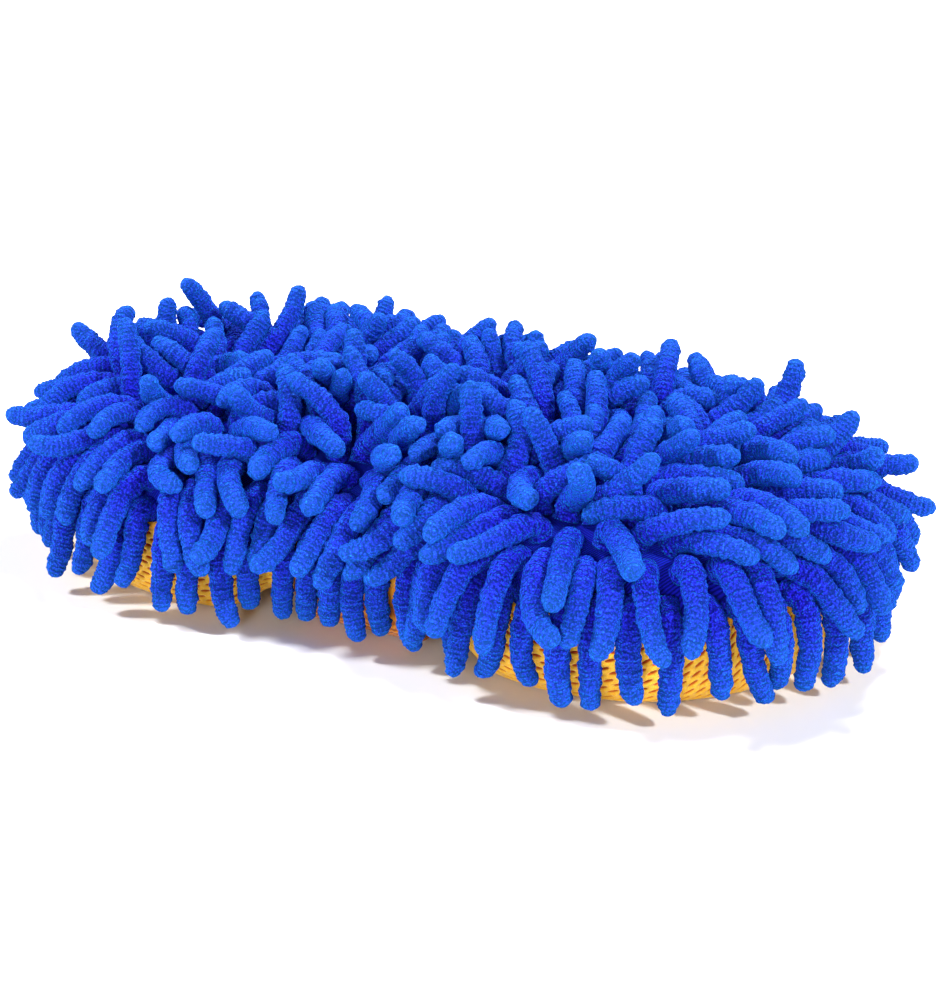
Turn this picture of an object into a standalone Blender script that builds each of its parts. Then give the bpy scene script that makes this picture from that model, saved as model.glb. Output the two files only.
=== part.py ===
"""Chenille wash mitt: a foam core in a cloth cover, with soft fingers on top and an elastic strap below.

Metres, +Z up. The origin is on the surface that the mitt lies on, midway between its two lobes.
+X runs along the mitt, and the hand strap crosses under its waist along Y.
The plan is a figure of eight with a gentle waist. It is made of four arcs, and every level line of the
cover is that outline moved inwards, so each panel is lofted from rings at a given inset.
"""

import math

import bmesh
import bpy
from mathutils import Vector

# Plan of the cover, at the seam
LOBE_RADIUS = 0.064
LOBE_X = 0.062  # from the middle of the mitt to the centre of each lobe
WAIST_HALF = 0.054  # half the width at the waist

# Side view of the cover
SEAM_Z = 0.027  # where the finger cloth meets the mesh
CROWN_Z = 0.047  # top of the finger cloth
SHOULDER = 0.040  # inset over which the top rounds up to the crown
TOE = 0.009  # inset over which the underside rounds in to its flat
SHOULDER_POWER = 2.4
TOE_POWER = 2.2
ARCH_RISE = 0.009  # the strap draws the waist's underside up into an arch
ARCH_FLAT = 0.027
ARCH_END = 0.046

# Cloth
GAP = 0.0003  # between pieces that touch
BACKING_THICK = 0.0012
MESH_THICK = 0.0025
SEAM_RADIUS = 0.0009

# Chenille fingers
FINGER_LENGTH = 0.033
FINGER_WIDTH = 0.0064
FINGER_PITCH = 0.0086
FINGER_ROWS = 7
FIRST_ROW = 0.0042  # from the seam to the first row, along the cloth
STRIP_WIDTH = 0.0058
STRIP_THICK = 0.0008
TIP_SHARE = 0.80  # where the finger starts to round off
CROWN_FINGERS = 6  # the short row along the middle of each lobe's crown
CROWN_ROW_START = 0.0180  # from the middle of the mitt

# How the soft pile lies down under its own weight
PILE_PRESS = 0.62  # height kept above the crown
PILE_REACH = 0.44  # reach kept outside the outline
PILE_DROP = 0.024  # how far a finger's tip hangs down at full reach

# Elastic strap
STRAP_WIDTH = 0.038
STRAP_THICK = 0.0014
STRAP_Z = 0.0013  # middle of its thickness, where it runs flat
STRAP_FLAT = 0.042  # half the length of the flat stretch
STRAP_STEPS = 8
STRAP_SIDE = 0.0565  # where it runs up the side of the waist
STRAP_TOP = 0.0256
STRAP_POWER = 3.0
TACK_HEIGHT = 0.0050
TACK_THICK = 0.0006

# Facets
LOBE_STEPS = 22
WAIST_STEPS = 10
PROFILE_STEPS = 5
SEAM_SIDES = 1  # the curve's bevel resolution: six sides

# The waist arc touches both lobes. Its centre is outside the mitt, on the Y axis.
WAIST_DEPTH = LOBE_RADIUS - WAIST_HALF
WAIST_CENTRE = (LOBE_X**2 - WAIST_DEPTH**2) / (2 * WAIST_DEPTH)
WAIST_RADIUS = WAIST_CENTRE - WAIST_HALF
WAIST_ANGLE = math.atan2(LOBE_X, WAIST_CENTRE)
QUARTER = math.pi / 2


class Arc:
    """One arc of the outline. side is 1 where the mitt lies inside the arc and -1 where it lies outside."""

    def __init__(self, centre, radius, side, start, end, steps):
        self.centre = Vector(centre)
        self.radius = radius
        self.side = side
        self.start = start
        self.end = end
        self.steps = steps

    def at(self, share, inset=0.0):
        """The point at that share of the arc, moved inwards by inset, and the outward normal there."""
        angle = self.start + (self.end - self.start) * share
        ray = Vector((math.cos(angle), math.sin(angle), 0.0))
        return self.centre + ray * (self.radius - self.side * inset), ray * self.side

    def length(self, inset):
        return abs(self.end - self.start) * (self.radius - self.side * inset)


LOBE_END = QUARTER + WAIST_ANGLE
ARCS = {
    "right_lobe": Arc((LOBE_X, 0, 0), LOBE_RADIUS, 1, -LOBE_END, LOBE_END, LOBE_STEPS),
    "back_waist": Arc(
        (0, WAIST_CENTRE, 0), WAIST_RADIUS, -1, -QUARTER + WAIST_ANGLE, -QUARTER - WAIST_ANGLE, WAIST_STEPS
    ),
    "left_lobe": Arc((-LOBE_X, 0, 0), LOBE_RADIUS, 1, math.pi - LOBE_END, math.pi + LOBE_END, LOBE_STEPS),
    "front_waist": Arc(
        (0, -WAIST_CENTRE, 0), WAIST_RADIUS, -1, QUARTER + WAIST_ANGLE, QUARTER - WAIST_ANGLE, WAIST_STEPS
    ),
}


def inset_at(point):
    """How far a point is inside the outline, and the plan direction that leads further in."""
    x, y = abs(point.x), abs(point.y)
    if x * WAIST_CENTRE < LOBE_X * (WAIST_CENTRE - y):
        away = Vector((x, y - WAIST_CENTRE, 0.0))
        inset = away.length - WAIST_RADIUS
    else:
        away = Vector((LOBE_X - x, -y, 0.0))
        inset = LOBE_RADIUS - away.length
    inward = away.normalized()
    if point.x < 0:
        inward.x = -inward.x
    if point.y < 0:
        inward.y = -inward.y
    return inset, inward


def superellipse(share, power):
    """(how far in, how far up) at a share of a rounded edge's quarter turn."""
    angle = share * QUARTER
    return 1 - math.cos(angle) ** (2 / power), math.sin(angle) ** (2 / power)


def arch(x):
    """Height of the underside's flat at x: raised at the waist, and on the table under the lobes."""
    share = min(max((ARCH_END - abs(x)) / (ARCH_END - ARCH_FLAT), 0.0), 1.0)
    return ARCH_RISE * share * share * (3 - 2 * share)


def contour(inset, height):
    """A ring of points round the outline at that inset, from the +X end. height is a function of x."""
    points = []
    for arc in ARCS.values():
        for step in range(arc.steps):
            point, _ = arc.at(step / arc.steps, inset)
            points.append(Vector((point.x, point.y, height(point.x))))
    half_lobe = LOBE_STEPS // 2
    return points[half_lobe:] + points[:half_lobe]


def top_rings(depth):
    """Rings from the seam up to the crown, on a surface that lies depth inside the cover's top."""
    rings = []
    for step in range(PROFILE_STEPS + 1):
        inward, up = superellipse(step / PROFILE_STEPS, SHOULDER_POWER)
        z = SEAM_Z + GAP / 2 + (CROWN_Z - SEAM_Z - GAP / 2 - depth) * up
        rings.append(contour(depth + (SHOULDER - depth) * inward, lambda x, z=z: z))
    return rings


def bottom_rings(depth):
    """Rings from the seam down and on across the underside's flat, depth inside the cover's underside."""
    rings = []
    top = SEAM_Z - GAP / 2
    for step in range(PROFILE_STEPS + 1):
        inward, down = superellipse(step / PROFILE_STEPS, TOE_POWER)
        inset = depth + (TOE - depth) * inward
        rings.append(contour(inset, lambda x, down=down: top - (top - depth - arch(x)) * down))
    for inset in ((TOE + SHOULDER) / 2, SHOULDER):
        rings.append(contour(inset, lambda x: depth + arch(x)))
    return rings


def add_object(name, mesh, material):
    obj = bpy.data.objects.new(name, mesh)
    obj.data.materials.append(material)
    bpy.context.scene.collection.objects.link(obj)
    return obj


def finish_mesh(bm, name, material):
    bmesh.ops.recalc_face_normals(bm, faces=bm.faces)
    mesh = bpy.data.meshes.new(name)
    bm.to_mesh(mesh)
    bm.free()
    return add_object(name, mesh, material)


def loft(name, rings, material):
    """A closed solid through the rings. Each end ring is closed by a ladder of faces across the mitt."""
    bm = bmesh.new()
    loops = [[bm.verts.new(point) for point in ring] for ring in rings]
    count = len(rings[0])
    for lower, upper in zip(loops, loops[1:]):
        for i in range(count):
            j = (i + 1) % count
            bm.faces.new((lower[i], lower[j], upper[j]))
            bm.faces.new((lower[i], upper[j], upper[i]))
    for loop in (loops[0], loops[-1]):
        bm.faces.new((loop[0], loop[1], loop[-1]))
        for i in range(1, count // 2 - 1):
            bm.faces.new((loop[i], loop[i + 1], loop[-i - 1], loop[-i]))
        middle = count // 2
        bm.faces.new((loop[middle - 1], loop[middle], loop[middle + 1]))
    obj = finish_mesh(bm, name, material)
    obj.data.shade_smooth()
    return obj


def top_profile():
    """Points up the cover's top from the seam: (distance along the cloth, inset, z, slope)."""
    samples = 240
    rows, along = [], 0.0
    for step in range(samples + 1):
        inward, up = superellipse(step / samples, SHOULDER_POWER)
        inset, z = SHOULDER * inward, SEAM_Z + (CROWN_Z - SEAM_Z) * up
        if rows:
            along += math.hypot(inset - rows[-1][1], z - rows[-1][2])
            tilt = math.atan2(z - rows[-1][2], inset - rows[-1][1])
        else:
            tilt = QUARTER
        rows.append((along, inset, z, tilt))
    return rows


PROFILE = top_profile()


def on_cloth(along):
    """(inset, z, slope) at that distance from the seam, measured along the cloth."""
    if along >= PROFILE[-1][0]:
        return SHOULDER + along - PROFILE[-1][0], CROWN_Z, 0.0
    for before, after in zip(PROFILE, PROFILE[1:]):
        if along <= after[0]:
            share = (along - before[0]) / (after[0] - before[0])
            return tuple(a + (b - a) * share for a, b in zip(before[1:], after[1:]))


def cloth_point(arc, share, along, lift):
    """A point lift above the finger cloth, and the cloth's outward normal there."""
    inset, z, slope = on_cloth(along)
    point, outward = arc.at(share, inset)
    normal = outward * math.sin(slope) + Vector((0, 0, math.cos(slope)))
    return Vector((point.x, point.y, z)) + normal * lift, normal


def settle(point):
    """Where the pile's own weight brings a point: pressed above the crown, and drawn in and dropped outside
    the outline. It never brings two points together, so fingers that stand clear of each other stay clear."""
    moved = point.copy()
    base = CROWN_Z + GAP + STRIP_THICK
    if moved.z > base:
        moved.z = base + (moved.z - base) * PILE_PRESS
    inset, inward = inset_at(point)
    if inset < 0:
        moved += inward * (-inset) * (1 - PILE_REACH)
        moved.z -= PILE_DROP * (inset / FINGER_LENGTH) ** 2
    return moved


def raise_finger(bm, face, direction):
    """Draws a finger out of one face of a strip: a straight shank, then a rounded tip."""
    centre = face.calc_center_median()
    shares = ((TIP_SHARE, 0.94), (1.0, 0.52))
    base = [vert.co - centre for vert in face.verts]
    for share, narrowing in shares:
        face = bmesh.ops.extrude_discrete_faces(bm, faces=[face])["faces"][0]
        for vert, offset in zip(face.verts, base):
            vert.co = settle(centre + direction * (FINGER_LENGTH * share) + offset * narrowing)


def finger_strip(name, frames, material):
    """A sewn strip with fingers on it. frames holds, for each cross line, the four corners of the strip's
    section and the direction that the fingers point. A finger stands on every second cell."""
    bm = bmesh.new()
    sections = [[bm.verts.new(corner) for corner in corners] for corners, _ in frames]
    tops = []
    for before, after in zip(sections, sections[1:]):
        for i in range(4):
            j = (i + 1) % 4
            face = bm.faces.new((before[i], before[j], after[j], after[i]))
            if i == 0:
                tops.append(face)
    bm.faces.new(sections[0])
    bm.faces.new(sections[-1])
    bmesh.ops.recalc_face_normals(bm, faces=bm.faces)
    for index in range(1, len(tops), 2):
        direction = (frames[index][1] + frames[index + 1][1]).normalized()
        raise_finger(bm, tops[index], direction)
    return finish_mesh(bm, name, material)


def row_frames(arc, along, fingers):
    """Cross lines along one arc's row: either side of each finger, and the strip's two ends."""
    inset, _, _ = on_cloth(along)
    length = arc.length(inset)
    pitch = length / fingers
    cuts = [GAP]
    for i in range(fingers):
        middle = pitch * (i + 0.5)
        cuts += [middle - FINGER_WIDTH / 2, middle + FINGER_WIDTH / 2]
    cuts.append(length - GAP)
    frames = []
    for cut in cuts:
        corners = []
        for offset, lift in ((-0.5, 1), (0.5, 1), (0.5, 0), (-0.5, 0)):
            where = along + offset * STRIP_WIDTH
            corner, _ = cloth_point(arc, cut / length, where, GAP + lift * STRIP_THICK)
            corners.append(corner)
        _, normal = cloth_point(arc, cut / length, along, 0.0)
        frames.append((corners, normal))
    return frames


def crown_frames(side):
    """Cross lines of the short straight row on one lobe's crown. side is 1 for the right lobe."""
    cuts = [0.0]
    for i in range(CROWN_FINGERS):
        middle = FINGER_PITCH * (i + 0.5)
        cuts += [middle - FINGER_WIDTH / 2, middle + FINGER_WIDTH / 2]
    cuts.append(FINGER_PITCH * CROWN_FINGERS)
    frames = []
    for cut in cuts:
        corners = []
        for offset, lift in ((-0.5, 1), (0.5, 1), (0.5, 0), (-0.5, 0)):
            z = CROWN_Z + GAP + lift * STRIP_THICK
            corners.append(Vector((side * (CROWN_ROW_START + cut), offset * STRIP_WIDTH, z)))
        frames.append((corners, Vector((0, 0, 1))))
    return frames


def build_fingers(material):
    for row in range(FINGER_ROWS):
        along = FIRST_ROW + row * FINGER_PITCH
        inset, _, _ = on_cloth(along)
        for place, arc in ARCS.items():
            fingers = round(arc.length(inset) / FINGER_PITCH)
            finger_strip(f"chenille_{place}_row_{row + 1}", row_frames(arc, along, fingers), material)
    for place, side in (("left", -1), ("right", 1)):
        finger_strip(f"chenille_{place}_crown_row", crown_frames(side), material)


def band(name, path, width, thick, material):
    """A flat band through a list of (y, z) points, width wide along X."""
    bm = bmesh.new()
    loops = []
    for i, (y, z) in enumerate(path):
        before, after = path[max(i - 1, 0)], path[min(i + 1, len(path) - 1)]
        run = Vector((0, after[0] - before[0], after[1] - before[1])).normalized()
        across = Vector((0, -run.z, run.y)) * (thick / 2)
        middle = Vector((0, y, z))
        side = Vector((width / 2, 0, 0))
        left, right = middle - side, middle + side
        corners = (left - across, right - across, right + across, left + across)
        loops.append([bm.verts.new(corner) for corner in corners])
    for before, after in zip(loops, loops[1:]):
        for i in range(4):
            j = (i + 1) % 4
            bm.faces.new((before[i], before[j], after[j], after[i]))
    bm.faces.new(loops[0])
    bm.faces.new(loops[-1])
    return finish_mesh(bm, name, material)


def build_strap(webbing, thread):
    """The hand strap, from the front seam down, under the arch and up to the back seam. A bar of stitches
    holds each end."""
    turn = []
    for step in range(STRAP_STEPS + 1):
        inward, down = superellipse(step / STRAP_STEPS, STRAP_POWER)
        y = STRAP_SIDE - (STRAP_SIDE - STRAP_FLAT) * inward
        turn.append((y, STRAP_TOP - (STRAP_TOP - STRAP_Z) * down))
    front = [(-y, z) for y, z in turn]
    band("hand_strap", front + turn[::-1], STRAP_WIDTH, STRAP_THICK, webbing)
    tack_y = STRAP_SIDE + STRAP_THICK / 2 + GAP + TACK_THICK / 2
    for place, side in (("front", -1), ("back", 1)):
        path = [(side * tack_y, STRAP_TOP - GAP), (side * tack_y, STRAP_TOP - GAP - TACK_HEIGHT)]
        band(f"strap_tack_{place}", path, STRAP_WIDTH * 0.9, TACK_THICK, thread)


def build_seam(thread):
    """The overlocked seam: a cord of thread all round, on the line where the two panels meet."""
    curve = bpy.data.curves.new("edge_seam", "CURVE")
    curve.dimensions = "3D"
    curve.bevel_depth = SEAM_RADIUS
    curve.bevel_resolution = SEAM_SIDES
    points = contour(-SEAM_RADIUS - GAP, lambda x: SEAM_Z)
    spline = curve.splines.new("POLY")
    spline.points.add(len(points) - 1)
    for slot, point in zip(spline.points, points):
        slot.co = (*point, 1.0)
    spline.use_cyclic_u = True
    return add_object("edge_seam", curve, thread)


def make_material(name, colour, roughness):
    material = bpy.data.materials.new(name)
    material.use_nodes = True
    shader = material.node_tree.nodes["Principled BSDF"]
    shader.inputs["Base Color"].default_value = (*colour, 1.0)
    shader.inputs["Roughness"].default_value = roughness
    shader.inputs["Metallic"].default_value = 0.0
    return material


def main():
    for obj in list(bpy.data.objects):
        bpy.data.objects.remove(obj)
    chenille = make_material("chenille_blue", (0.013, 0.052, 0.66), 0.95)
    knit = make_material("knit_blue", (0.008, 0.022, 0.36), 0.90)
    mesh_cloth = make_material("mesh_yellow", (0.95, 0.42, 0.02), 0.70)
    webbing = make_material("strap_orange", (0.90, 0.30, 0.02), 0.80)
    thread = make_material("seam_thread", (0.90, 0.36, 0.02), 0.75)
    foam = make_material("foam_cream", (0.80, 0.74, 0.55), 0.95)

    lining = BACKING_THICK + GAP
    mesh_lining = MESH_THICK + GAP
    loft("foam_core", top_rings(lining)[::-1] + bottom_rings(mesh_lining), foam)
    loft("chenille_backing", top_rings(BACKING_THICK)[::-1] + top_rings(0.0), knit)
    loft("mesh_cover", bottom_rings(0.0)[::-1] + bottom_rings(MESH_THICK), mesh_cloth)
    build_fingers(chenille)
    build_seam(thread)
    build_strap(webbing, thread)


main()
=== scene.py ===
"""The looks of a chenille wash mitt: a foam core in a two-sided cloth cover, with soft fingers on top.

Metres, +Z up. The mitt lies mesh side down. X runs along the mitt, and its strap crosses under the waist.
The cover follows one outline, a figure of eight made of four arcs. The fingers grow in rows from the cover.
A small simulation lets them bend under their own weight, lie on each other and rest on the table.
"""

import math

import bmesh
import bpy
import numpy as np
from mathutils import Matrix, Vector


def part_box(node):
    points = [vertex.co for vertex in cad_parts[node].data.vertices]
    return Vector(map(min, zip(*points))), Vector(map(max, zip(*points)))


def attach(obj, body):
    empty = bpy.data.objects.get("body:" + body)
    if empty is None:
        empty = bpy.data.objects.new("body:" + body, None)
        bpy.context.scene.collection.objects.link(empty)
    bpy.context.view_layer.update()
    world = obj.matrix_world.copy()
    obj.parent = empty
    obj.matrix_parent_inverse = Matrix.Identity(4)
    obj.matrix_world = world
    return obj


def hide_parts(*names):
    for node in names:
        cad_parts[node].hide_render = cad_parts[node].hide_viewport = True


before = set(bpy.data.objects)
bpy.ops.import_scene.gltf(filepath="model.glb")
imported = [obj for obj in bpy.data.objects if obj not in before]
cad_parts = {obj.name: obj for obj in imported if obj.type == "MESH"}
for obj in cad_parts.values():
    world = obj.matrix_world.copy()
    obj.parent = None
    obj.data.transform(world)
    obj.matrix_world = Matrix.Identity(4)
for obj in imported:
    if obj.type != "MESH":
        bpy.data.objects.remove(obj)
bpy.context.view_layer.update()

MM = 0.001
UP = np.array((0.0, 0.0, 1.0))
QUARTER = math.pi / 2

# Cover: the outline and its side view
low, high = (np.array(corner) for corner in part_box("chenille_backing"))
CROWN_Z = high[2]
LOBE_RADIUS = (high[1] - low[1]) / 2
LOBE_X = high[0] - LOBE_RADIUS
SEAM_Z = sum(corner[2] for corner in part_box("edge_seam")) / 2
WAIST_HALF = 54 * MM
SHOULDER = 40 * MM
TOE = 9 * MM
SHOULDER_POWER = 2.4
TOE_POWER = 2.2
ARCH_RISE = 9 * MM
ARCH_FLAT = 27 * MM
ARCH_END = 46 * MM

WAIST_DEPTH = LOBE_RADIUS - WAIST_HALF
WAIST_CENTRE = (LOBE_X**2 - WAIST_DEPTH**2) / (2 * WAIST_DEPTH)
WAIST_RADIUS = WAIST_CENTRE - WAIST_HALF
WAIST_ANGLE = math.atan2(LOBE_X, WAIST_CENTRE)

# Fingers
FINGER_ROWS = 7
FIRST_ROW = 4.2 * MM
FINGER_PITCH = 8.6 * MM
CROWN_FINGERS = 6
CROWN_ROW_START = 18 * MM
FINGER_LENGTH = 33 * MM
FINGER_RADIUS = 3.4 * MM
BEADS = 9
SEED = 3

# How the fingers fall
LEAN = 0.62
JITTER = 0.33
CURL = 0.13
LENGTHS = (0.82, 1.02)  # shares of FINGER_LENGTH
PARTING_START = np.array((-72.0, -38.0)) * MM  # the pile lies away from the line between these two points
PARTING_END = np.array((88.0, -50.0)) * MM
PARTING_SHARE = 0.80
GRAVITY = 0.070 * MM  # fall in one step
SIDE_STIFFNESS = 0.40
CROWN_STIFFNESS = 0.95  # on the crown the fingers also hold each other up
DAMPING = 0.90
SETTLE_STEPS = 260
PASSES = 3

# Finger surface
RINGS = 66
SIDES = 22
YARN_PITCH = 1.35 * MM
YARN_RIB = 0.11 * MM
FINE_NAP = 0.17 * MM
COARSE_NAP = 0.10 * MM
TIP_TAPER = 0.16
ROOT_FLARE = 0.10
ROOT_REACH = 1.5 * MM

# Cloth cover
LOBE_STEPS = 96
WAIST_STEPS = 56
BACKING_THICK = 1.2 * MM
MIDDLE_GAP = 1 * MM  # half the width of the last strip of faces along the mitt's middle

# Air mesh
HOLE_PITCH_X = 5.2 * MM
HOLE_PITCH_Y = 2.1 * MM
HOLE_SIZE = np.array((1.80, 0.60)) * MM  # half length and half width
HOLE_DEPTH = 0.9 * MM
PUFF = 0.35 * MM
INNER_FACE = (1.3 * MM, 2.4 * MM)  # how deep its two sides lie

# Edge seam
SEAM_RADIUS = 1.15 * MM
SEAM_WINDING = 0.22 * MM

# Hand strap
STRAP_WIDTH = 38 * MM
STRAP_THICK = 1.4 * MM
STRAP_Z = 1.3 * MM
STRAP_FLAT = 42 * MM
STRAP_SIDE = 56.5 * MM
STRAP_TOP = 25.6 * MM
STRAP_POWER = 3.0
STRAP_RIBS = 19
STRAP_RIB = 0.16 * MM
TACK_ZIGZAGS = 34
TACK_HALF_HEIGHT = 2.0 * MM
TACK_THREAD = 0.32 * MM

# Colours of the chenille, and the room
# NAVY is painted shade for the chenille's hollows, and AZURE a painted highlight for its bump tops and
# towards its tips.
NAVY = (0.0035, 0.0035, 0.20)
ROYAL_BLUE = (0.0200, 0.0150, 0.80)
AZURE = (0.024, 0.400, 0.96)
ROOM_FILL = 0.22
FLOOR_HALF = 6.0


class Arc:
    """One arc of the outline. side is 1 where the mitt lies inside the arc and -1 where it lies outside.

    It turns by the angle half on each side of its middle. half is negative on an arc that runs clockwise.
    """

    def __init__(self, centre, radius, side, middle, half):
        self.centre = np.array((*centre, 0.0))
        self.radius = radius
        self.side = side
        self.start = middle - half
        self.end = middle + half

    def at(self, share, inset):
        """Points at those shares of the arc, moved inwards by inset, and their outward normals."""
        angle = self.start + (self.end - self.start) * np.asarray(share, float)
        ray = np.stack((np.cos(angle), np.sin(angle), np.zeros_like(angle)), axis=-1)
        reach = np.asarray(self.radius - self.side * inset)
        return self.centre + ray * reach[..., None], ray * self.side

    def length(self, inset):
        return abs(self.end - self.start) * (self.radius - self.side * inset)


LOBE_ANGLE = QUARTER + WAIST_ANGLE
ARCS = {
    "right_lobe": Arc((LOBE_X, 0), LOBE_RADIUS, 1, 0.0, LOBE_ANGLE),
    "back_waist": Arc((0, WAIST_CENTRE), WAIST_RADIUS, -1, -QUARTER, -WAIST_ANGLE),
    "left_lobe": Arc((-LOBE_X, 0), LOBE_RADIUS, 1, math.pi, LOBE_ANGLE),
    "front_waist": Arc((0, -WAIST_CENTRE), WAIST_RADIUS, -1, QUARTER, -WAIST_ANGLE),
}


def inset_at(points):
    """How far points are inside the outline, and the plan directions that lead further in."""
    x, y = np.abs(points[..., 0]), np.abs(points[..., 1])
    waist = x * WAIST_CENTRE < LOBE_X * (WAIST_CENTRE - y)
    away_x = np.where(waist, x, LOBE_X - x)
    away_y = np.where(waist, y - WAIST_CENTRE, -y)
    reach = np.maximum(np.hypot(away_x, away_y), 1e-9)
    inset = np.where(waist, reach - WAIST_RADIUS, LOBE_RADIUS - reach)
    inward = np.stack((away_x, away_y), -1) / reach[..., None] * np.sign(points[..., :2])
    return inset, inward


def superellipse(share, power):
    """(how far in, how far up) at a share of a rounded edge's quarter turn."""
    angle = np.asarray(share) * QUARTER
    return 1 - np.maximum(np.cos(angle), 0) ** (2 / power), np.sin(angle) ** (2 / power)


def arch(x):
    """Height of the underside at x: raised at the waist, and on the table under the lobes."""
    share = np.clip((ARCH_END - np.abs(x)) / (ARCH_END - ARCH_FLAT), 0.0, 1.0)
    return ARCH_RISE * share * share * (3 - 2 * share)


def top_profile():
    """Columns of (distance along the cloth from the seam, inset, z, slope) up the cover's top."""
    inward, up = superellipse(np.linspace(0, 1, 241), SHOULDER_POWER)
    inset, z = SHOULDER * inward, SEAM_Z + (CROWN_Z - SEAM_Z) * up
    step_in, step_up = np.diff(inset), np.diff(z)
    along = np.concatenate(([0.0], np.cumsum(np.hypot(step_in, step_up))))
    slope = np.concatenate(([QUARTER], np.arctan2(step_up, step_in)))
    return along, inset, z, slope


PROFILE = top_profile()


def on_cloth(along):
    """(inset, z, slope) at that distance from the seam, measured along the cloth."""
    values = [float(np.interp(along, PROFILE[0], column)) for column in PROFILE[1:]]
    values[0] += max(along - PROFILE[0][-1], 0.0)
    return values


# ---------------------------------------------------------------- fingers


def sow(rng):
    """Each finger's row name, its root on the cloth, and the cloth's normal and outward way there."""
    names, roots, normals, outwards = [], [], [], []

    def add(name, points, normal, outward):
        names.extend([name] * len(points))
        roots.extend(points)
        normals.extend(normal)
        outwards.extend(outward)

    for row in range(FINGER_ROWS):
        inset, z, slope = on_cloth(FIRST_ROW + row * FINGER_PITCH)
        for place, arc in ARCS.items():
            count = round(arc.length(inset) / FINGER_PITCH)
            shares = (np.arange(count) + 0.5 + rng.uniform(-0.12, 0.12, count)) / count
            points, outward = arc.at(shares, np.full(count, inset))
            points[:, 2] = z
            normal = outward * math.sin(slope) + UP * math.cos(slope)
            add(f"chenille_{place}_row_{row + 1}", points, normal, outward)
    for place, side in (("left", -1), ("right", 1)):
        x = side * (CROWN_ROW_START + FINGER_PITCH * (np.arange(CROWN_FINGERS) + 0.5))
        points = np.stack((x, np.zeros_like(x), np.full_like(x, CROWN_Z)), -1)
        turn = rng.uniform(0, 2 * math.pi, CROWN_FINGERS)
        outward = np.stack((np.cos(turn), np.sin(turn), 0 * turn), -1)
        add(f"chenille_{place}_crown_row", points, np.tile(UP, (CROWN_FINGERS, 1)), outward)
    return names, np.array(roots), np.array(normals), np.array(outwards)


def unit(vectors):
    return vectors / np.maximum(np.linalg.norm(vectors, axis=-1, keepdims=True), 1e-12)


def push_off_cover(points, gap):
    """Moves points that are closer than gap to the cover's surface out of it."""
    inset, inward = inset_at(points)
    upper = points[:, 2] >= SEAM_Z
    width = np.where(upper, SHOULDER, TOE)
    height = np.where(upper, CROWN_Z - SEAM_Z, SEAM_Z - arch(points[:, 0]))
    power = np.where(upper, SHOULDER_POWER, TOE_POWER)
    across = np.maximum(width - inset, 0.0) / width
    rise = np.abs(points[:, 2] - SEAM_Z) / height
    level = (across**power + rise**power) ** (1 / power)
    slope_in = (across / np.maximum(level, 1e-6)) ** (power - 1) / width
    slope_up = (rise / np.maximum(level, 1e-6)) ** (power - 1) / height
    steep = np.maximum(np.hypot(slope_in, slope_up), 1e-6)
    short = gap - (level - 1) / steep
    hit = short > 0
    move = np.zeros_like(points)
    move[:, :2] = -inward * (slope_in / steep)[:, None]
    move[:, 2] = np.where(upper, 1, -1) * slope_up / steep
    points[hit] += (move * short[:, None])[hit]


def near_pairs(beads, finger, reach):
    """Index pairs of beads on different fingers that are closer than reach."""
    square = (beads**2).sum(1)
    apart = square[:, None] + square[None, :] - 2 * beads @ beads.T
    close = np.triu(apart < reach * reach, 1)
    first, second = np.nonzero(close)
    other = finger[first] != finger[second]
    return first[other], second[other]


def spread_apart(beads, pairs, gap, held):
    """Pushes each close pair apart along the line between them."""
    first, second = pairs
    line = beads[second] - beads[first]
    apart = np.maximum(np.linalg.norm(line, axis=1), 1e-9)
    hit = apart < gap
    first, second = first[hit], second[hit]
    push = line[hit] * (0.5 * (gap - apart[hit]) / apart[hit])[:, None]
    count = len(beads)
    for axis in range(3):
        move = np.bincount(second, push[:, axis], count) - np.bincount(first, push[:, axis], count)
        beads[:, axis] += 0.8 * move * ~held


def comb(roots, outwards):
    """The way each finger leans: away from the parting, and away from the middle of the mitt."""
    run = PARTING_END - PARTING_START
    share = np.clip((roots[:, :2] - PARTING_START) @ run / (run @ run), 0, 1)
    away = roots[:, :2] - (PARTING_START + share[:, None] * run)
    away = away / np.maximum(np.linalg.norm(away, axis=1, keepdims=True), 8 * MM)
    lean = outwards * (1 - PARTING_SHARE)
    lean[:, :2] += away * PARTING_SHARE
    return lean


def straighten(chain, stiffness, curl):
    """Moves each bead towards the line through its neighbours, but for the finger's own curl."""
    for i in range(1, BEADS - 1):
        bend = (chain[:, i + 1] - 2 * chain[:, i] + chain[:, i - 1] - curl) * stiffness / 6
        chain[:, i + 1] -= bend
        if i > 1:
            chain[:, i] += 2 * bend
        if i > 2:
            chain[:, i - 1] -= bend


def keep_clear(beads, held):
    """Moves the loose beads out of the cover and up off the table."""
    free = beads[~held]
    push_off_cover(free, FINGER_RADIUS)
    free[:, 2] = np.maximum(free[:, 2], FINGER_RADIUS)
    beads[~held] = free


def keep_length(chain, step):
    """Moves neighbouring beads back to step apart."""
    for i in range(1, BEADS - 1):
        link = chain[:, i + 1] - chain[:, i]
        extra = link - unit(link) * step
        share = 0.5 if i > 1 else 0.0
        chain[:, i] += extra * share
        chain[:, i + 1] -= extra * (1 - share)


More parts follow.
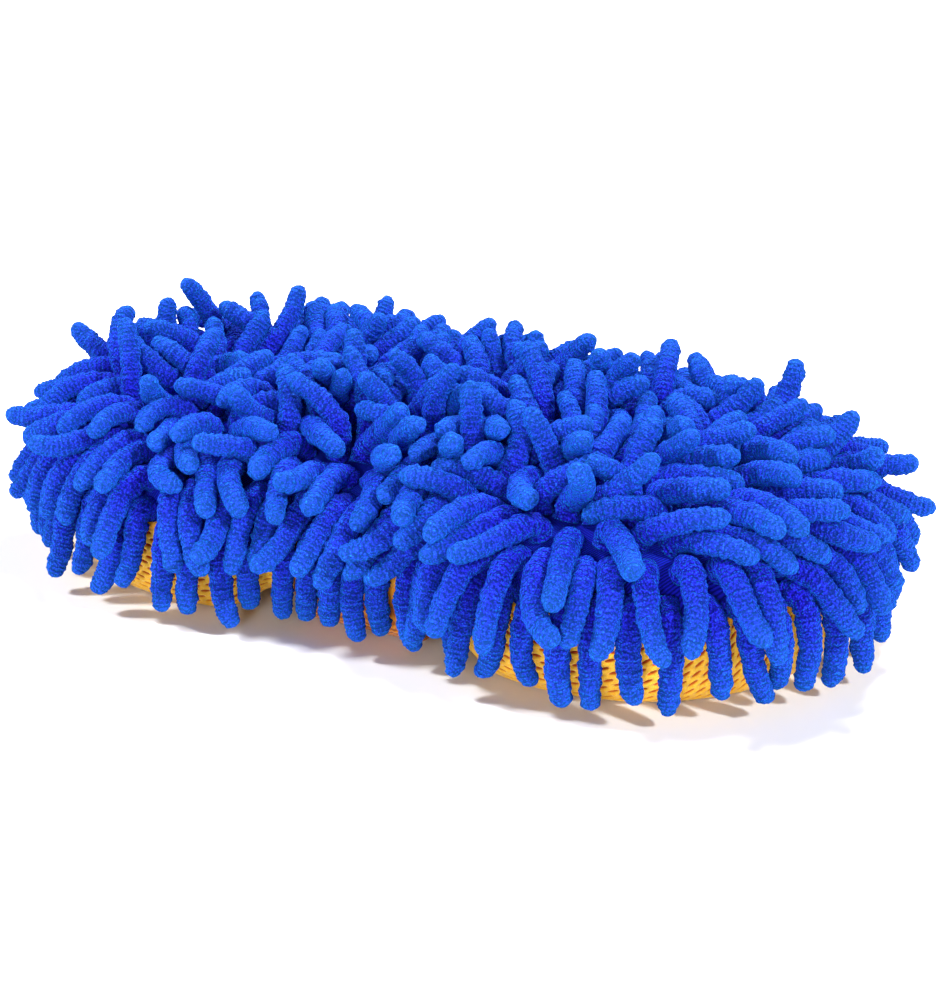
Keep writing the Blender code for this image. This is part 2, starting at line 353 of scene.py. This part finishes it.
def settle_fingers(rng, roots, normals, outwards):
    """Lets each finger, a chain of beads, bend under its weight until it lies on its neighbours."""
    count = len(roots)
    step = FINGER_LENGTH / (BEADS - 1) * rng.uniform(*LENGTHS, (count, 1))
    way = unit(normals + comb(roots, outwards) * LEAN + rng.normal(0, JITTER, (count, 3)))
    curl = rng.normal(0, CURL, (count, 3)) * step
    chain = roots[:, None] + (way * step)[:, None] * np.arange(BEADS)[:, None]
    finger = np.repeat(np.arange(count), BEADS)
    upright = np.clip(normals[:, 2:], 0, 1) ** 2
    stiffness = SIDE_STIFFNESS + (CROWN_STIFFNESS - SIDE_STIFFNESS) * upright
    held = np.tile(np.arange(BEADS) < 2, count)
    gap = 2 * FINGER_RADIUS
    speed = np.zeros_like(chain)
    for tick in range(SETTLE_STEPS):
        before = chain.copy()
        speed *= DAMPING
        speed[..., 2] -= GRAVITY
        chain[:, 2:] += speed[:, 2:]
        beads = chain.reshape(-1, 3)
        if tick % 8 == 0:
            pairs = near_pairs(beads, finger, gap * 1.5)
        for _ in range(PASSES):
            straighten(chain, stiffness, curl)
            spread_apart(beads, pairs, gap, held)
            keep_clear(beads, held)
            keep_length(chain, step)
        speed = chain - before
    return chain


def resample(chain, count):
    """Smooth points along each chain, by a Catmull-Rom curve."""
    ends = np.concatenate((2 * chain[:, :1] - chain[:, 1:2], chain, 2 * chain[:, -1:] - chain[:, -2:-1]), 1)
    where = np.linspace(0, chain.shape[1] - 1, count)
    first = np.minimum(where.astype(int), chain.shape[1] - 2)
    t = (where - first)[None, :, None]
    a, b, c, d = (ends[:, first + k] for k in range(4))
    return 0.5 * (2 * b + (c - a) * t + (2 * a - 5 * b + 4 * c - d) * t**2 + (3 * b - a - 3 * c + d) * t**3)


def smooth_noise(rng, shape, passes):
    """Random values, blurred along the rings and round the sides, with a spread of 1."""
    noise = rng.normal(0, 1, shape)
    for _ in range(passes):
        noise = (noise + np.roll(noise, 1, 2) + np.roll(noise, -1, 2)) / 3
        noise[:, 1:-1] = (noise[:, 1:-1] + noise[:, 2:] + noise[:, :-2]) / 3
    return noise / noise.std()


def rings_round(line, side, other, radius, sides):
    """Rings of that many points round lines. side and other are unit vectors across each line."""
    angle = np.linspace(0, 2 * math.pi, sides, endpoint=False)[:, None]
    ring = side[..., None, :] * np.cos(angle) + other[..., None, :] * np.sin(angle)
    return line[..., None, :] + ring * radius


def carried_sides(ahead):
    """A direction across each line, carried along it without twist."""
    side = np.zeros_like(ahead)
    side[:, 0] = unit(np.cross(ahead[:, 0], (0.31, 0.52, 0.79)))
    for i in range(1, ahead.shape[1]):
        before = side[:, i - 1]
        side[:, i] = unit(before - ahead[:, i] * (before * ahead[:, i]).sum(1, keepdims=True))
    return side


def finger_skins(rng, chain):
    """Rings of surface points round every finger: a fuzzy tube with a rounded tip."""
    line = resample(chain, RINGS)
    steps = np.linalg.norm(np.diff(line, axis=1), axis=2)
    along = np.concatenate((np.zeros((len(line), 1)), np.cumsum(steps, 1)), 1)
    ahead = unit(np.gradient(line, axis=1))
    side = carried_sides(ahead)
    to_tip = (along[:, -1:] - along) / (FINGER_RADIUS * 1.4)
    tip = np.sqrt(np.clip(1 - (1 - np.clip(to_tip, 0, 1)) ** 2.2, 0, 1))
    root = 1 + ROOT_FLARE * np.exp(-along / ROOT_REACH)
    taper = 1 - TIP_TAPER * np.clip(1 - to_tip / 4, 0, 1)
    size = FINGER_RADIUS * rng.uniform(0.94, 1.06, (len(line), 1)) * tip * root * taper
    wander = smooth_noise(rng, (len(line), RINGS, 1), 6)[..., 0] * 1.2
    rib = np.sin(along / YARN_PITCH * 2 * math.pi + wander) * YARN_RIB
    shape = (len(line), RINGS, SIDES)
    nap = smooth_noise(rng, shape, 1) * FINE_NAP + smooth_noise(rng, shape, 3) * COARSE_NAP
    radius = size[..., None] + (rib[..., None] + nap) * np.minimum(tip * 1.5, 1)[..., None]
    skins = rings_round(line, side, np.cross(ahead, side), np.maximum(radius, 0.0)[..., None], SIDES)
    return skins, along, to_tip


def tube_faces(rings, sides):
    """Quads of one tube whose points are ordered ring by ring."""
    i, j = np.meshgrid(np.arange(rings - 1), np.arange(sides), indexing="ij")
    k = (j + 1) % sides
    ring, following = i * sides, (i + 1) * sides
    return np.stack((ring + j, ring + k, following + k, following + j), -1).reshape(-1, 4)


def mesh_object(name, points, faces, material, smooth=True):
    """A mesh object from arrays. faces is a list of arrays, each with one kind of polygon."""
    mesh = bpy.data.meshes.new(name)
    sizes = np.concatenate([np.full(len(f), f.shape[1]) for f in faces])
    corners = np.concatenate([f.ravel() for f in faces])
    mesh.vertices.add(len(points))
    mesh.vertices.foreach_set("co", np.asarray(points, np.float32).ravel())
    mesh.loops.add(len(corners))
    mesh.loops.foreach_set("vertex_index", corners.astype(np.int32))
    mesh.polygons.add(len(sizes))
    starts = np.concatenate(([0], np.cumsum(sizes)[:-1]))
    mesh.polygons.foreach_set("loop_start", starts.astype(np.int32))
    mesh.update(calc_edges=True)
    mesh.validate()
    if smooth:
        mesh.shade_smooth()
    mesh.materials.append(material)
    obj = bpy.data.objects.new(name, mesh)
    bpy.context.scene.collection.objects.link(obj)
    return obj


def finger_row(name, skins, material):
    """One row of fingers as one piece, each finger closed at its root and its tip."""
    count = len(skins)
    per = RINGS * SIDES
    points = skins.reshape(-1, 3)
    offset = (np.arange(count) * per)[:, None, None]
    quads = (tube_faces(RINGS, SIDES)[None] + offset).reshape(-1, 4)
    root = np.arange(SIDES)[::-1][None] + offset[:, 0]
    tip = (np.arange(SIDES) + (RINGS - 1) * SIDES)[None] + offset[:, 0]
    return mesh_object(name, points, [quads, root, tip], material)


def add_paint(obj, values, name):
    """A float for each point that the materials read."""
    layer = obj.data.attributes.new(name, "FLOAT", "POINT")
    layer.data.foreach_set("value", np.asarray(values, np.float32).ravel())


def make_fingers(rng, material):
    names, roots, normals, outwards = sow(rng)
    chain = settle_fingers(rng, roots, normals, outwards)
    skins, along, to_tip = finger_skins(rng, chain)
    names = np.array(names)
    # A random share for each finger of the painted highlight on its bump tops.
    highlight_share = rng.uniform(0, 1, len(names))
    for name in dict.fromkeys(names):
        mine = names == name
        obj = finger_row(f"fingers_{name[9:]}", skins[mine], material)
        add_paint(obj, np.repeat(1 - np.clip(to_tip[mine] / 6, 0, 1), SIDES, axis=1), "tip")
        add_paint(obj, np.repeat(along[mine], SIDES, axis=1), "along")
        add_paint(obj, np.repeat(highlight_share[mine], RINGS * SIDES), "highlight_share")
        place(obj, "chenille", name)


# ---------------------------------------------------------------- cover


def outline_ring(inset, height, lobe_steps=LOBE_STEPS, waist_steps=WAIST_STEPS):
    """Points round the outline at that inset. height is a function of x."""
    parts = []
    for name, arc in ARCS.items():
        steps = lobe_steps if name.endswith("lobe") else waist_steps
        points, _ = arc.at(np.arange(steps) / steps, np.full(steps, inset))
        parts.append(points)
    ring = np.concatenate(parts)
    ring[:, 2] = height(ring[:, 0])
    return ring


def top_rings(depth, steps=26):
    """Rings from the seam to the crown and on to its middle, depth inside the cover's top."""
    rings = []
    for share in np.linspace(0, 1, steps):
        inward, up = superellipse(share, SHOULDER_POWER)
        z = SEAM_Z + (CROWN_Z - SEAM_Z - depth) * up
        rings.append(outline_ring(depth + (SHOULDER - depth) * inward, lambda x, z=z: 0 * x + z))
    for inset in np.linspace(SHOULDER, WAIST_HALF - MIDDLE_GAP, 6)[1:]:
        rings.append(outline_ring(inset, lambda x: 0 * x + CROWN_Z - depth))
    return rings


def bottom_rings(depth, steps=22):
    """Rings from the seam down and across the underside, depth inside the cover's underside."""
    rings = []
    for share in np.linspace(0, 1, steps):
        inward, down = superellipse(share, TOE_POWER)
        inset = depth + (TOE - depth) * inward
        rings.append(outline_ring(inset, lambda x, down=down: SEAM_Z - (SEAM_Z - depth - arch(x)) * down))
    for inset in np.linspace(TOE, WAIST_HALF - MIDDLE_GAP, 10)[1:]:
        rings.append(outline_ring(inset, lambda x: depth + arch(x)))
    return rings


def loft(name, rings, material):
    """A closed skin through rings of equal length, its end rings closed by strips across the mitt."""
    count = len(rings[0])
    quads = tube_faces(len(rings), count)
    strips, corners = [], []
    end = LOBE_STEPS // 2  # the ring's point at the right end of the mitt, on the X axis
    for first in (0, (len(rings) - 1) * count):
        ladder = [(first + (end + k) % count, first + (end - k) % count) for k in range(count // 2 + 1)]
        for (a, b), (c, d) in zip(ladder[1:], ladder[2:-1]):
            strips.append((a, c, d, b))
        corners.append((ladder[0][0], ladder[1][0], ladder[1][1]))
        corners.append((ladder[-1][0], ladder[-2][1], ladder[-2][0]))
    faces = [quads, np.array(strips), np.array(corners)]
    obj = mesh_object(name, np.concatenate(rings), faces, material)
    turn_faces_out(obj)
    return obj


def turn_faces_out(obj):
    work = bmesh.new()
    work.from_mesh(obj.data)
    bmesh.ops.recalc_face_normals(work, faces=work.faces)
    work.to_mesh(obj.data)
    work.free()


def wall_profile():
    """(share of the wall's turn, distance along the cloth) from the seam down to the underside."""
    share = np.linspace(0, 1, 121)
    inward, down = superellipse(share, TOE_POWER)
    steps = np.hypot(np.diff(TOE * inward), np.diff(SEAM_Z * down))
    return share, np.concatenate(([0.0], np.cumsum(steps)))


WALL_SHARE, WALL_ALONG = wall_profile()
WALL_LENGTH = WALL_ALONG[-1]
FLAT_EDGE = TOE - WALL_LENGTH  # the flat cut's edge, as an inset of the sewn outline

def wrap(flat, depth):
    """Where plan points of the mesh panel, cut flat, lie on the sewn cover, depth inside its surface."""
    inset, inward = inset_at(flat)
    along = np.maximum(inset - FLAT_EDGE, 0.0)
    share = np.interp(along, WALL_ALONG, WALL_SHARE)
    wall_in, wall_down = superellipse(share, TOE_POWER)
    sewn = np.where(along < WALL_LENGTH, depth + (TOE - depth) * wall_in, np.maximum(inset, TOE))
    plan = flat + inward * (sewn - inset)[:, None]
    drop = (SEAM_Z - depth - arch(plan[:, 0])) * wall_down
    return np.column_stack((plan, SEAM_Z - drop))


def slot_grid():
    """The mesh panel cut flat: the 8 corners of each cell, and the 8 points of the slot in it."""
    half_x = LOBE_X + LOBE_RADIUS - FLAT_EDGE
    half_y = LOBE_RADIUS - FLAT_EDGE
    corners = np.array([(0, 0), (0.5, 0), (1, 0), (1, 0.5), (1, 1), (0.5, 1), (0, 1), (0, 0.5)]) - 0.5
    turns = np.arctan2(corners[:, 1], corners[:, 0])
    slot = np.stack((np.cos(turns), np.sin(turns)), -1) * HOLE_SIZE
    columns = np.arange(int(-half_x / HOLE_PITCH_X) - 2, int(half_x / HOLE_PITCH_X) + 2)
    rows = np.arange(int(-half_y / HOLE_PITCH_Y) - 1, int(half_y / HOLE_PITCH_Y) + 2)
    row, column = (side.ravel() for side in np.meshgrid(rows, columns, indexing="ij"))
    middles = np.column_stack(((column + 0.5 * (row % 2)) * HOLE_PITCH_X, row * HOLE_PITCH_Y))[:, None]
    cells = middles + corners * (HOLE_PITCH_X, HOLE_PITCH_Y)
    inside = (inset_at(cells)[0] > FLAT_EDGE + 0.2 * MM).any(1)
    return cells[inside], (middles + slot)[inside]


def mesh_net(material):
    """The air mesh's outer face: a net of puffed yarn round rows of short slots."""
    cells, slots = slot_grid()
    corners = cells.reshape(-1, 2)
    keys = np.round(corners / (0.01 * MM)).astype(np.int64)
    _, first, owner = np.unique(keys, axis=0, return_index=True, return_inverse=True)
    owner = owner.reshape(-1, 8)
    shared, rims = corners[first], slots.reshape(-1, 2)
    points = np.concatenate((wrap(shared, 0.0), wrap(rims, PUFF), wrap(rims, PUFF + HOLE_DEPTH)))
    rim = len(shared) + np.arange(len(rims)).reshape(-1, 8)
    foot = rim + len(rims)
    following = np.roll(np.arange(8), -1)
    quads = [
        np.stack((owner, owner[:, following], rim[:, following], rim), -1).reshape(-1, 4),
        np.stack((rim, rim[:, following], foot[:, following], foot), -1).reshape(-1, 4),
    ]
    net = mesh_object("mesh_net", points, quads, material)
    # How deep each point lies in its slot; the material paints shade from it.
    add_paint(net, np.repeat((0.0, 0.25, 1.0), (len(shared), len(rims), len(rims))), "hole")
    return net


def mesh_inner_face(material):
    """The air mesh's inner face, which shows through the slots."""
    outer, inner = (bottom_rings(depth) for depth in INNER_FACE)
    return loft("mesh_inner_face", outer[::-1] + inner, material)


def swept(name, sections, material, closed=False):
    """A closed tube through sections, each a ring of points."""
    count, sides = sections.shape[:2]
    first = np.arange(sides)
    last = first + (count - 1) * sides
    if closed:
        following = np.roll(first, -1)
        ends = [np.stack((last, last[following], following, first), -1)]
    else:
        ends = [first[::-1][None], last[None]]
    obj = mesh_object(name, sections.reshape(-1, 3), [tube_faces(count, sides), *ends], material)
    turn_faces_out(obj)
    return obj


def edge_seam(material):
    """The overlocked edge: a cord wound with thread, all round the outline."""
    line = outline_ring(-1.0 * MM, lambda x: 0 * x + SEAM_Z, 480, 270)
    ahead = unit(np.roll(line, -1, 0) - np.roll(line, 1, 0))
    side = unit(np.cross(ahead, UP))
    sides = 12
    angle = np.linspace(0, 2 * math.pi, sides, endpoint=False)
    winding = np.arange(len(line))[:, None] / 5 * 2 * math.pi + angle
    radius = SEAM_RADIUS + SEAM_WINDING * np.cos(winding)
    rings = rings_round(line, side, np.cross(side, ahead), radius[..., None], sides)
    return swept("seam_overlock", rings, material, closed=True)


def strap_path():
    """(y, z) points down the front of the waist, under the arch and up the back."""
    inward, down = superellipse(np.linspace(0, 1, 60), STRAP_POWER)
    side_y = STRAP_SIDE - (STRAP_SIDE - STRAP_FLAT) * inward
    side_z = STRAP_TOP - (STRAP_TOP - STRAP_Z) * down
    flat_y = np.linspace(-STRAP_FLAT, STRAP_FLAT, 60)[1:-1]
    y = np.concatenate((-side_y, flat_y, side_y[::-1]))
    z = np.concatenate((side_z, np.full(len(flat_y), STRAP_Z), side_z[::-1]))
    return np.column_stack((y, z))


def hand_strap(material):
    """Ribbed elastic webbing."""
    path = strap_path()
    run = unit(np.gradient(path, axis=0))
    across = np.stack((-run[:, 1], run[:, 0]), -1)
    count = STRAP_RIBS * 6
    x = np.linspace(-STRAP_WIDTH / 2, STRAP_WIDTH / 2, count)
    rib = STRAP_RIB * np.abs(np.cos(np.linspace(0, STRAP_RIBS * math.pi, count)))
    to_edge = np.minimum(x - x[0], x[-1] - x)
    half = (STRAP_THICK / 2 - STRAP_RIB + rib) * np.minimum(1, 0.35 + to_edge / (0.8 * MM))
    thickness = np.concatenate((half, -half[::-1]))
    points = np.zeros((len(path), 2 * count, 3))
    points[..., 0] = np.concatenate((x, x[::-1]))
    points[..., 1:] = path[:, None] + across[:, None] * thickness[:, None]
    return swept("hand_strap_webbing", points, material)


def strap_tack(name, side, material):
    """A bar of close zigzag stitches across one end of the strap."""
    share = np.linspace(0, 1, TACK_ZIGZAGS * 6 + 1)
    x = (share - 0.5) * STRAP_WIDTH * 0.88
    y = np.full_like(x, side * (STRAP_SIDE + STRAP_THICK / 2 + 0.25 * MM))
    z = STRAP_TOP - 2.8 * MM + TACK_HALF_HEIGHT * np.sin(share * TACK_ZIGZAGS * 2 * math.pi)
    line = np.column_stack((x, y, z))
    ahead = unit(np.gradient(line, axis=0))
    out = np.tile((0.0, 1.0, 0.0), (len(line), 1))
    return swept(name, rings_round(line, np.cross(ahead, out), out, TACK_THREAD, 8), material)


def flat_cut(grow):
    """(size, area) of a figure-of-eight panel cut that much bigger than the sewn outline."""
    x, y, _ = outline_ring(-grow, lambda x: 0 * x).T
    area = 0.5 * abs(np.sum(x * np.roll(y, -1) - y * np.roll(x, -1)))
    return (float(np.ptp(y)), float(np.ptp(x))), float(area)


def declare_panel(grow):
    size, area = flat_cut(grow)


def place(obj, slot, *nodes):
    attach(obj, "root")
    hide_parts(*nodes)
    return obj


def make_cover(materials):
    foam_rings = top_rings(2.0 * MM)[::-1] + bottom_rings(3.0 * MM)[1:]
    foam = loft("foam_block", foam_rings, materials["foam"])
    place(foam, "foam", "foam_core")
    knit_rings = top_rings(BACKING_THICK)[::-1] + top_rings(0.0)
    backing = loft("backing_knit", knit_rings, materials["knit"])
    place(backing, "knit_backing", "chenille_backing")
    declare_panel(PROFILE[0][-1] - SHOULDER)
    for piece in (mesh_net(materials["mesh"]), mesh_inner_face(materials["mesh_inner"])):
        place(piece, "mesh", "mesh_cover")
        declare_panel(-FLAT_EDGE)
    place(edge_seam(materials["thread"]), "thread", "edge_seam")
    strap = place(hand_strap(materials["webbing"]), "webbing", "hand_strap")
    for end, side in (("front", -1), ("back", 1)):
        tack = strap_tack(f"tack_stitches_{end}", side, materials["thread"])
        place(tack, "thread", f"strap_tack_{end}")


# ---------------------------------------------------------------- materials


class Graph:
    """A short way to write a material's nodes."""

    def __init__(self, name, roughness):
        self.material = bpy.data.materials.new(name)
        self.material.use_nodes = True
        self.tree = self.material.node_tree
        self.shader = self.tree.nodes["Principled BSDF"]
        self.shader.inputs["Roughness"].default_value = roughness
        self.where = self.tree.nodes.new("ShaderNodeTexCoord").outputs["Object"]

    def set(self, **values):
        for name, value in values.items():
            self.shader.inputs[name.replace("_", " ")].default_value = value

    def link(self, source, target):
        self.tree.links.new(source, target)

    def node(self, kind, inputs=None, **settings):
        node = self.tree.nodes.new(kind)
        for name, value in settings.items():
            setattr(node, name, value)
        for key, value in (inputs or {}).items():
            if hasattr(value, "is_output"):
                self.link(value, node.inputs[key])
            else:
                node.inputs[key].default_value = value
        return node

    def noise(self, size, detail=2.0, where=None):
        """Noise whose lumps are about that many metres across."""
        inputs = {"Vector": where or self.where, "Scale": 1 / size, "Detail": detail}
        return self.node("ShaderNodeTexNoise", inputs).outputs["Fac"]

    def cells(self, size, feature="F1"):
        inputs = {"Vector": self.where, "Scale": 1 / size}
        return self.node("ShaderNodeTexVoronoi", inputs, feature=feature).outputs["Distance"]

    def attribute(self, name):
        return self.node("ShaderNodeAttribute", attribute_name=name).outputs["Fac"]

    def math(self, operation, a, b=0.0, clamp=False):
        node = self.node("ShaderNodeMath", {0: a, 1: b}, operation=operation, use_clamp=clamp)
        return node.outputs[0]

    def remap(self, value, low, high, to_low=0.0, to_high=1.0):
        inputs = {"Value": value, "From Min": low, "From Max": high, "To Min": to_low, "To Max": to_high}
        return self.node("ShaderNodeMapRange", inputs, clamp=True).outputs[0]

    def mix(self, share, a, b):
        node = self.node("ShaderNodeMix", data_type="RGBA")
        for socket, value in zip((node.inputs[0], node.inputs[6], node.inputs[7]), (share, a, b)):
            if hasattr(value, "is_output"):
                self.link(value, socket)
            else:
                socket.default_value = (*value, 1) if isinstance(value, tuple) else value
        return node.outputs[2]

    def colour(self, value):
        self.link(value, self.shader.inputs["Base Color"])

    def bump(self, height, distance, strength=1.0):
        node = self.node("ShaderNodeBump", {"Height": height, "Distance": distance, "Strength": strength})
        self.link(node.outputs[0], self.shader.inputs["Normal"])


def chenille_material():
    """Dense fuzzy yarn wound in rings: painted shade makes its hollows navy, and a painted highlight makes
    its bump tops, where the fibre ends catch the light, and its tips azure.
    """
    graph = Graph("chenille_blue", 0.9)
    graph.set(Sheen_Weight=0.7, Sheen_Roughness=0.30, Sheen_Tint=(0.01, 0.28, 1.0, 1.0))
    graph.set(Specular_IOR_Level=0.05)
    tufts = graph.cells(0.55 * MM, feature="SMOOTH_F1")
    fine = graph.noise(0.30 * MM, detail=3.0)
    wander = graph.math("MULTIPLY", graph.noise(2.5 * MM), 9.0)
    turn = graph.math("MULTIPLY", graph.attribute("along"), 2 * math.pi / YARN_PITCH)
    rings = graph.math("SINE", graph.math("ADD", turn, wander))
    peaks = graph.remap(tufts, 0.62, 0.12)
    height = graph.math("ADD", graph.math("MULTIPLY", peaks, 0.8), graph.math("MULTIPLY", rings, 0.16))
    height = graph.math("ADD", height, graph.math("MULTIPLY", fine, 0.5))
    # Painted shade: the low parts of the bump height turn navy.
    base = graph.mix(graph.remap(height, 0.30, 0.85), NAVY, ROYAL_BLUE)
    # Painted highlight: the tops of the bumps turn azure, as fibre ends catching the light.
    ends = graph.math("MULTIPLY", graph.remap(height, 0.75, 1.25), graph.remap(fine, 0.42, 0.60))
    tip = graph.math("POWER", graph.attribute("tip"), 1.6)
    # A random amount of that painted highlight for each finger.
    random_highlight = graph.math("MULTIPLY", graph.attribute("highlight_share"), 0.30)
    azure = graph.math("ADD", graph.math("ADD", graph.math("MULTIPLY", tip, 0.50), random_highlight), 0.12)
    # More painted highlight towards each finger's tip, here and in the sum above.
    tip_highlight = graph.math("MULTIPLY", tip, 0.17)
    light = graph.math("ADD", graph.math("MULTIPLY", ends, azure), tip_highlight, clamp=True)
    graph.colour(graph.mix(light, base, AZURE))
    graph.bump(height, 0.70 * MM)
    return graph.material


def ribbed_height(graph, pitch, turn, depth_noise=0.2):
    """Ribs of that pitch along a direction turned about Z, roughened by the yarn."""
    turned = graph.node("ShaderNodeMapping", {"Vector": graph.where, "Rotation": (0, 0, turn)}).outputs[0]
    inputs = {"Vector": turned, "Scale": 1 / (pitch * 3.2), "Distortion": 0.6, "Detail Scale": 2.0}
    wave = graph.node("ShaderNodeTexWave", inputs).outputs["Fac"]
    return graph.math("ADD", wave, graph.math("MULTIPLY", graph.noise(0.25 * MM), depth_noise))


def knit_material():
    graph = Graph("knit_blue", 0.9)
    graph.set(Sheen_Weight=0.3, Sheen_Tint=(0.02, 0.20, 1.0, 1.0), Specular_IOR_Level=0.05)
    ribs = ribbed_height(graph, 0.6 * MM, 0.6)
    # Painted shade: the low parts of the ribs are darker blue.
    graph.colour(graph.mix(graph.remap(ribs, 0.2, 0.9), (0.003, 0.004, 0.22), (0.012, 0.014, 0.62)))
    graph.bump(ribs, 0.25 * MM)
    return graph.material


def yarn_material(name, dark, light, slot_shade=None, roughness=0.7, size=0.4 * MM):
    """Bundled synthetic yarn: fine strands with painted shade in the hollows between them, and painted
    shade inside holes, darker towards their bottoms.
    """
    graph = Graph(name, roughness)
    graph.set(Sheen_Weight=0.2, Specular_IOR_Level=0.3)
    strands = graph.noise(size, detail=3.0)
    # Painted shade: the low parts of the strands are darker.
    paint = graph.mix(graph.remap(strands, 0.3, 0.7), dark, light)
    if slot_shade:
        # Painted shade inside the holes: the slot walls turn darker orange towards their bottoms.
        paint = graph.mix(graph.remap(graph.attribute("hole"), 0.2, 0.6), paint, slot_shade)
    graph.colour(paint)
    graph.bump(strands, 0.15 * MM)
    return graph.material


def webbing_material():
    graph = Graph("webbing_orange", 0.75)
    graph.set(Sheen_Weight=0.2, Specular_IOR_Level=0.3)
    ribs = ribbed_height(graph, 1.1 * MM, QUARTER)
    # Painted shade: the low parts of the ribs are darker orange.
    graph.colour(graph.mix(graph.remap(ribs, 0.2, 1.0), (0.45, 0.10, 0.004), (0.86, 0.30, 0.01)))
    graph.bump(ribs, 0.2 * MM)
    return graph.material


def foam_material():
    graph = Graph("foam_cream", 0.95)
    pores = graph.cells(1.1 * MM)
    # Painted shade: the pits of the pores are darker.
    graph.colour(graph.mix(graph.remap(pores, 0.1, 0.6), (0.50, 0.42, 0.26), (0.82, 0.76, 0.56)))
    graph.bump(pores, 0.3 * MM)
    return graph.material


def make_materials():
    # The painted shade inside the mesh's slots.
    shaded_slot_orange = (0.62, 0.10, 0.003)
    return {
        "chenille": chenille_material(),
        "knit": knit_material(),
        "mesh": yarn_material("mesh_yellow", (1.0, 0.43, 0.012), (1.0, 0.68, 0.06), slot_shade=shaded_slot_orange),
        "mesh_inner": yarn_material("mesh_inner_orange", (0.22, 0.016, 0.001), (0.42, 0.045, 0.002)),
        "thread": yarn_material("thread_orange", (0.72, 0.26, 0.008), (0.95, 0.44, 0.02), size=0.3 * MM),
        "webbing": webbing_material(),
        "foam": foam_material(),
    }


def floor_material():
    graph = Graph("floor_white", 0.55)
    grain = graph.noise(40 * MM, detail=4.0)
    graph.colour(graph.mix(grain, (0.93, 0.93, 0.93), (0.95, 0.95, 0.95)))
    return graph.material


# ---------------------------------------------------------------- scene


def make_camera():
    data = bpy.data.cameras.new("camera")
    data.lens = 81.2
    data.shift_x = 0.0238
    data.shift_y = 0.0740
    camera = bpy.data.objects.new("camera", data)
    bpy.context.scene.collection.objects.link(camera)
    azimuth, elevation, distance = math.radians(29.3), math.radians(23.5), 0.686
    level = math.cos(elevation)
    back = Vector((math.sin(azimuth) * level, -math.cos(azimuth) * level, math.sin(elevation)))
    camera.location = back * distance
    camera.rotation_euler = (-back).to_track_quat("-Z", "Y").to_euler()
    bpy.context.scene.camera = camera


def lamp(name, place, power, softness):
    """A far studio lamp that shines from there at the mitt. softness is its width in degrees."""
    data = bpy.data.lights.new(name, "SUN")
    data.energy = power
    data.angle = math.radians(softness)
    obj = bpy.data.objects.new(name, data)
    obj.location = place
    obj.rotation_euler = (-Vector(place)).to_track_quat("-Z", "Y").to_euler()
    bpy.context.scene.collection.objects.link(obj)


def make_world():
    """A white room that fills the shadows less than it shows."""
    world = bpy.data.worlds.new("studio")
    world.use_nodes = True
    tree = world.node_tree
    background = tree.nodes["Background"]
    background.inputs["Color"].default_value = (1, 1, 1, 1)
    path = tree.nodes.new("ShaderNodeLightPath")
    strength = tree.nodes.new("ShaderNodeMapRange")
    strength.inputs["To Min"].default_value = ROOM_FILL
    tree.links.new(path.outputs["Is Camera Ray"], strength.inputs["Value"])
    tree.links.new(strength.outputs[0], background.inputs["Strength"])
    bpy.context.scene.world = world


def make_studio():
    make_world()
    bpy.context.scene.view_settings.view_transform = "Standard"
    corners = np.array([(-1, -1, 0), (1, -1, 0), (1, 1, 0), (-1, 1, 0)]) * FLOOR_HALF
    floor = mesh_object("floor", corners, [np.array([(0, 1, 2, 3)])], floor_material(), smooth=False)
    lamp("left", (-0.75, -0.35, 0.85), 3.4, 8)
    lamp("right", (0.85, -0.15, 0.75), 3.1, 6)
    lamp("back", (-0.1, 0.9, 0.9), 4.6, 10)
    lamp("front", (0.35, -1.1, 0.36), 1.5, 14)


def main():
    rng = np.random.default_rng(SEED)
    materials = make_materials()
    make_fingers(rng, materials["chenille"])
    make_cover(materials)
    make_camera()
    make_studio()


main()
